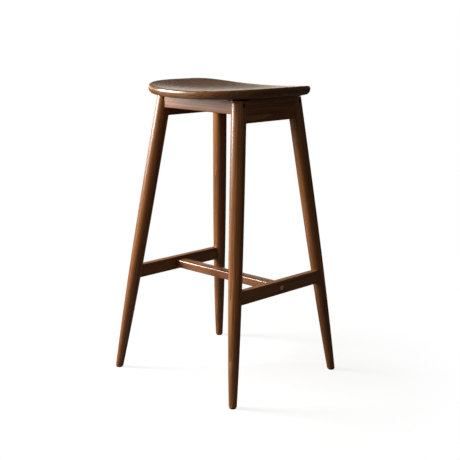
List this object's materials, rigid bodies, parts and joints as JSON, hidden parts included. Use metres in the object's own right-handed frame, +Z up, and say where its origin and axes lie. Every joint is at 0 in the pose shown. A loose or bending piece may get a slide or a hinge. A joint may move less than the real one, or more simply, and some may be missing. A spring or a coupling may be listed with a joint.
{
  "type": "bar stool",
  "caption": "Tall wooden bar stool with a dished seat, splayed tapered round legs, apron rails and an H-shaped stretcher whose middle rail is the footrest.",
  "frame": {"origin": "on the floor, in the middle of the four feet", "axes": "+Z up; the sitter faces -Y, towards the seat's broad round edge; +X is the sitter's left-hand side, so names say left and right as seen by someone looking at the stool along +Y"},
  "size_m": [0.4296, 0.4034, 0.75],
  "materials": {
    "seat_walnut": "satin lacquer on walnut-brown wood",
    "leg_walnut": "satin lacquer on walnut-brown wood",
    "rail_walnut": "satin lacquer on walnut-brown wood",
    "footrest_walnut": "satin lacquer on walnut-brown wood",
    "beech": "bare turned beech",
    "bronzed_steel": "bronze-toned plating",
    "zinc_steel": "zinc plating",
    "black_plastic": "moulded matte"
  },
  "bodies": {
    "root": {"seat": "seat_walnut", "leg_front_left": "leg_walnut", "leg_front_right": "leg_walnut", "leg_back_left": "leg_walnut", "leg_back_right": "leg_walnut", "apron_front": "rail_walnut", "apron_back": "rail_walnut", "apron_left": "rail_walnut", "apron_right": "rail_walnut", "side_stretcher_left": "rail_walnut", "side_stretcher_right": "rail_walnut", "footrest": "footrest_walnut", "apron_bolt_front_left": "bronzed_steel", "apron_nut_front_left": "zinc_steel", "apron_dowel_front_left": "beech", "apron_bolt_front_right": "bronzed_steel", "apron_nut_front_right": "zinc_steel", "apron_dowel_front_right": "beech", "apron_bolt_back_left": "bronzed_steel", "apron_nut_back_left": "zinc_steel", "apron_dowel_back_left": "beech", "apron_bolt_back_right": "bronzed_steel", "apron_nut_back_right": "zinc_steel", "apron_dowel_back_right": "beech", "footrest_bolt_left": "bronzed_steel", "footrest_nut_left": "zinc_steel", "footrest_dowel_left_front": "beech", "footrest_dowel_left_back": "beech", "footrest_bolt_right": "bronzed_steel", "footrest_nut_right": "zinc_steel", "footrest_dowel_right_front": "beech", "footrest_dowel_right_back": "beech", "seat_screw_front_left": "zinc_steel", "glide_nail_front_left": "zinc_steel", "seat_screw_front_right": "zinc_steel", "glide_nail_front_right": "zinc_steel", "seat_screw_back_left": "zinc_steel", "glide_nail_back_left": "zinc_steel", "seat_screw_back_right": "zinc_steel", "glide_nail_back_right": "zinc_steel", "glide_front_left": "black_plastic", "glide_front_right": "black_plastic", "glide_back_left": "black_plastic", "glide_back_right": "black_plastic"}
  },
  "joints": []
}
